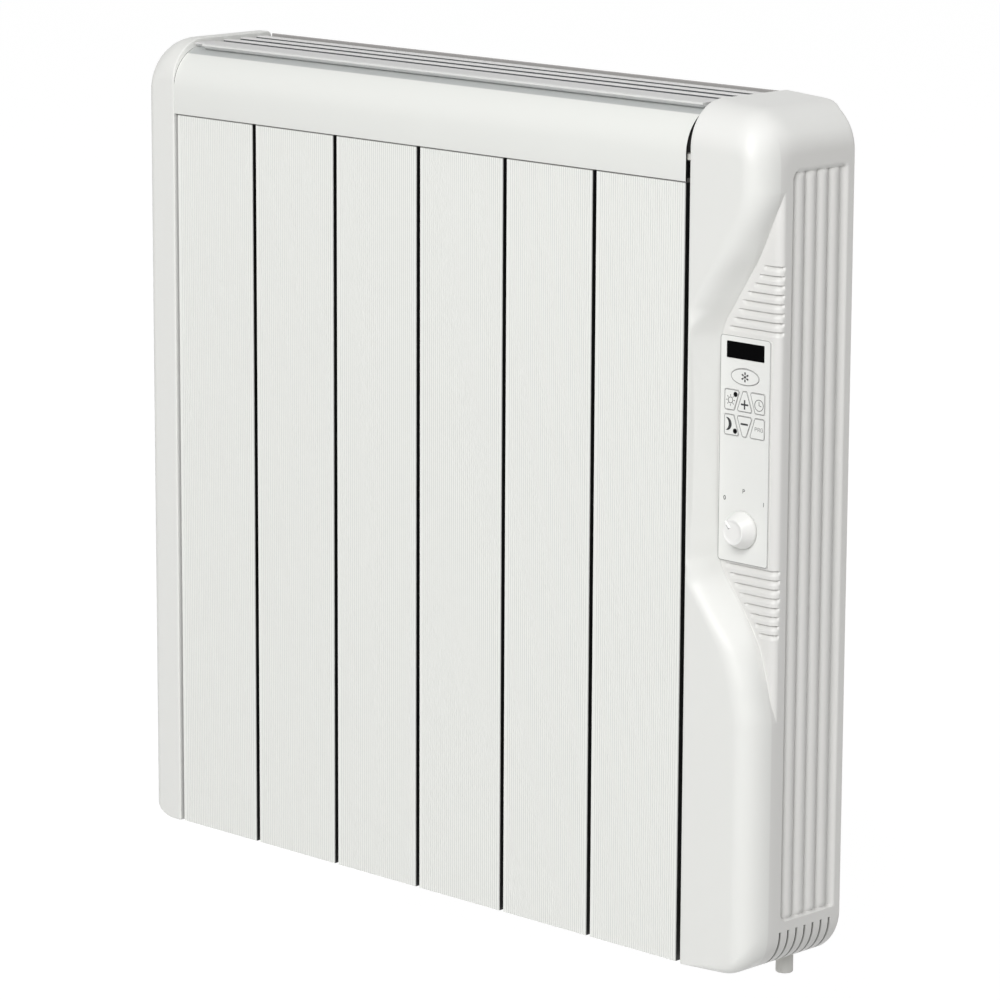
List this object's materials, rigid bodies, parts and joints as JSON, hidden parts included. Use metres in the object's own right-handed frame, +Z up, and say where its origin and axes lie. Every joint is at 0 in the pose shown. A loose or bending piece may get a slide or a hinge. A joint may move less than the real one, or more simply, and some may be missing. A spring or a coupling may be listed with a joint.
{
  "type": "electric radiator",
  "caption": "Wall-hung electric radiator of reeded aluminium elements between moulded end caps, with a control recess, keys and a selector knob.",
  "frame": {"origin": "centre of the four wall bolts, on the wall plane", "axes": "+Y into the wall, so the front faces -Y; +X to the right seen from the front; +Z up"},
  "size_m": [0.5951, 0.102, 0.596],
  "materials": {
    "powder_coat": "fine semi-matt powder coat",
    "cap_plastic": "semi-matt moulded plastic",
    "fascia_foil": "satin printed foil",
    "key_foil": "satin key foil",
    "knob_plastic": "satin moulded plastic",
    "display_lens": "black gloss lens",
    "lamp_lens": "dark lamp lens",
    "raw_steel": "zinc plated",
    "black_steel": "black primer",
    "bracket_steel": "white powder coat",
    "rod_steel": "drawn sheath",
    "board_laminate": "green laminate",
    "component_plastic": "moulded component",
    "insulator": "moulded insulator",
    "lead_sheath": "silicone sheath",
    "gland_plastic": "moulded nylon"
  },
  "bodies": {
    "radiator": {"cable_gland": "gland_plastic", "comfort_lamp": "lamp_lens", "control_board": "board_laminate", "control_fascia": "fascia_foil", "cord_clamp": "insulator", "display_module": "component_plastic", "display_window": "display_lens", "economy_lamp": "lamp_lens", "element_1": "powder_coat", "element_2": "powder_coat", "element_3": "powder_coat", "element_4": "powder_coat", "element_5": "powder_coat", "element_6": "powder_coat", "frame_screws": "raw_steel", "gland_nut": "gland_plastic", "grille_back_rail": "powder_coat", "grille_blade_1": "powder_coat", "grille_blade_2": "powder_coat", "grille_blade_3": "powder_coat", "grille_lip": "powder_coat", "grille_supports": "black_steel", "heater_rod_1": "rod_steel", "heater_rod_2": "rod_steel", "heater_rod_3": "rod_steel", "heater_rod_4": "rod_steel", "heater_rod_5": "rod_steel", "heater_rod_6": "rod_steel", "hood_clips": "gland_plastic", "key_switches": "component_plastic", "left_cap_screws": "raw_steel", "left_end_cap": "cap_plastic", "left_side_frame": "black_steel", "lower_rail": "raw_steel", "power_board": "board_laminate", "power_relay": "component_plastic", "rail_screws": "raw_steel", "right_cap_screws": "raw_steel", "right_end_cap": "cap_plastic", "right_side_frame": "black_steel", "room_sensor": "component_plastic", "selector_switch": "component_plastic", "terminal_block": "insulator", "thermal_cutout": "component_plastic", "top_hood": "powder_coat", "transformer": "component_plastic", "upper_rail": "raw_steel", "wall_bracket_left": "bracket_steel", "wall_bracket_right": "bracket_steel", "wiring_harness": "lead_sheath"},
    "selector": {"selector_shaft": "insulator", "selector_knob": "knob_plastic"},
    "key_frost_cap": {"key_frost": "key_foil"},
    "key_comfort_cap": {"key_comfort": "key_foil"},
    "key_economy_cap": {"key_economy": "key_foil"},
    "key_plus_cap": {"key_plus": "key_foil"},
    "key_minus_cap": {"key_minus": "key_foil"},
    "key_clock_cap": {"key_clock": "key_foil"},
    "key_program_cap": {"key_program": "key_foil"}
  },
  "joints": [
    {"name": "selector_turn", "type": "hinge", "parent": "radiator", "child": "selector", "pos_m": [0.2864, -0.082, 0.012], "axis": [0, 1, 0], "range_deg": [0, 84]},
    {"name": "key_frost_press", "type": "slide", "parent": "radiator", "child": "key_frost_cap", "axis": [0, 1, 0], "range_m": [0, 0.0005], "stiffness_N_per_m": 800, "springref_m": -0.0005},
    {"name": "key_comfort_press", "type": "slide", "parent": "radiator", "child": "key_comfort_cap", "axis": [0, 1, 0], "range_m": [0, 0.0005], "stiffness_N_per_m": 800, "springref_m": -0.0005},
    {"name": "key_economy_press", "type": "slide", "parent": "radiator", "child": "key_economy_cap", "axis": [0, 1, 0], "range_m": [0, 0.0005], "stiffness_N_per_m": 800, "springref_m": -0.0005},
    {"name": "key_plus_press", "type": "slide", "parent": "radiator", "child": "key_plus_cap", "axis": [0, 1, 0], "range_m": [0, 0.0005], "stiffness_N_per_m": 800, "springref_m": -0.0005},
    {"name": "key_minus_press", "type": "slide", "parent": "radiator", "child": "key_minus_cap", "axis": [0, 1, 0], "range_m": [0, 0.0005], "stiffness_N_per_m": 800, "springref_m": -0.0005},
    {"name": "key_clock_press", "type": "slide", "parent": "radiator", "child": "key_clock_cap", "axis": [0, 1, 0], "range_m": [0, 0.0005], "stiffness_N_per_m": 800, "springref_m": -0.0005},
    {"name": "key_program_press", "type": "slide", "parent": "radiator", "child": "key_program_cap", "axis": [0, 1, 0], "range_m": [0, 0.0005], "stiffness_N_per_m": 800, "springref_m": -0.0005}
  ]
}
